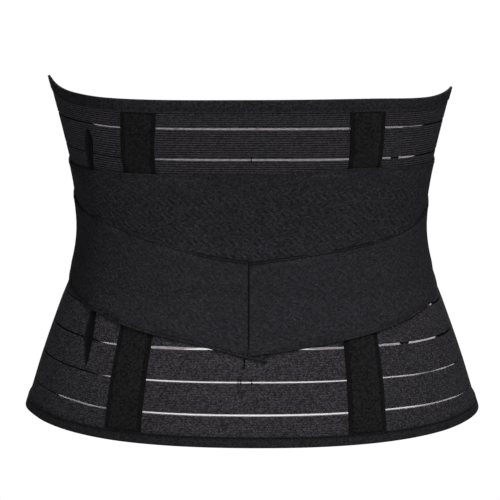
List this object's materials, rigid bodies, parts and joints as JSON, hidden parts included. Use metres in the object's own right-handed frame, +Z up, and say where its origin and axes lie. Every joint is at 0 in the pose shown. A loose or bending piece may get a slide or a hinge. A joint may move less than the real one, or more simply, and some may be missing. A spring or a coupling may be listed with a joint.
{
  "type": "postpartum belly wrap",
  "caption": "Dark elastic belly wrap in its worn shape: a ribbed, slit band with bound edges and bone casings, held firm by a level strap and straps that cross at the back.",
  "frame": {"origin": "on the axis of the wearer's torso at the waist, the narrowest girth of the wrap", "axes": "+Z up along the torso, -Y out of the middle of the back, +X to the right as seen from the back"},
  "size_m": [0.344, 0.2378, 0.2595],
  "materials": {
    "ribbed_elastic": "ribbed woven elastic, matte",
    "strap_elastic": "herringbone woven elastic, slight sheen",
    "casing_tape": "brushed tape, velvety",
    "binding_tape": "folded tape, matte",
    "closure_loop": "looped pile, matte"
  },
  "bodies": {
    "root": {"elastic_band": "ribbed_elastic", "top_binding": "binding_tape", "bottom_binding": "binding_tape", "bone_casing_left": "casing_tape", "bone_casing_right": "casing_tape", "side_stay_left": "casing_tape", "side_stay_right": "casing_tape", "upper_strap": "strap_elastic", "lower_strap_left": "strap_elastic", "lower_strap_right": "strap_elastic", "front_closure": "closure_loop"}
  },
  "joints": []
}
